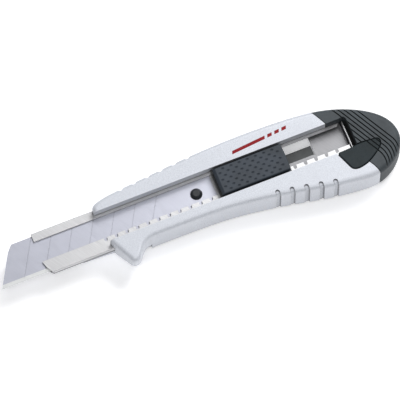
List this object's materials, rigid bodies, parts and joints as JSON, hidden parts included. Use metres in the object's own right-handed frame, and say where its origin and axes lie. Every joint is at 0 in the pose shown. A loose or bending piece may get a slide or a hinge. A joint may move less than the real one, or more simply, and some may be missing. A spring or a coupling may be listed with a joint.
{
  "type": "utility knife",
  "caption": "Snap-off blade knife: die-cast handle with finger guard, steel rail, locking slider with soft knob, ribbed rubber end cap with latch and snapping slit.",
  "frame": {"origin": "on the plane of the handle's flat back face, under the middle of the whole knife's bounding box", "axes": "+X runs back along the knife from the blade's tip to the end cap, +Y from the cutting edge to the spine, +Z out of the front face with the knob"},
  "size_m": [0.189, 0.0401, 0.0177],
  "materials": {
    "silver_casting": "satin silver paint",
    "rail_steel": "brushed",
    "blade_steel": "fine ground",
    "spring_steel": "bright",
    "peg_black": "satin black",
    "dark_plastic": "fine texture",
    "knob_rubber": "matt",
    "cap_rubber": "matt"
  },
  "bodies": {
    "handle": {"body_shell": "silver_casting", "blade_rail": "rail_steel", "rail_bed": "dark_plastic", "rail_rivets": "rail_steel", "latch_pin": "spring_steel", "latch_spring": "spring_steel"},
    "latch": {"cap_latch": "cap_rubber"},
    "slider": {"slide_plate": "rail_steel", "blade": "blade_steel", "blade_peg": "peg_black", "tension_spring": "spring_steel", "lock_spring": "spring_steel", "lock_spring_pins": "spring_steel", "knob_studs": "spring_steel"},
    "knob": {"knob_base": "dark_plastic", "centre_spring": "spring_steel", "knob_pad": "knob_rubber"},
    "cap": {"cap_core": "dark_plastic", "cap_grip": "cap_rubber", "snapper_plate": "rail_steel", "plate_pins": "spring_steel", "cap_clip": "spring_steel"}
  },
  "joints": [
    {"name": "blade_slide", "type": "slide", "parent": "handle", "child": "slider", "axis": [1, 0, 0], "range_m": [-0.05, 0.02], "deforming": ["lock_spring"]},
    {"name": "knob_shift", "type": "slide", "parent": "slider", "child": "knob", "axis": [1, 0, 0], "range_m": [-0.001, 0.001], "stiffness_N_per_m": 300, "deforming": ["centre_spring"]},
    {"name": "latch_press", "type": "hinge", "parent": "handle", "child": "latch", "pos_m": [0.07338, -0.011, 0.013], "axis": [0, -1, 0], "range_deg": [0, 5], "stiffness_Nm_per_rad": 0.01, "deforming": ["latch_spring"]},
    {"name": "cap_pull", "type": "slide", "parent": "handle", "child": "cap", "axis": [1, 0, 0], "range_m": [0, 0.018], "deforming": ["cap_clip"]}
  ]
}
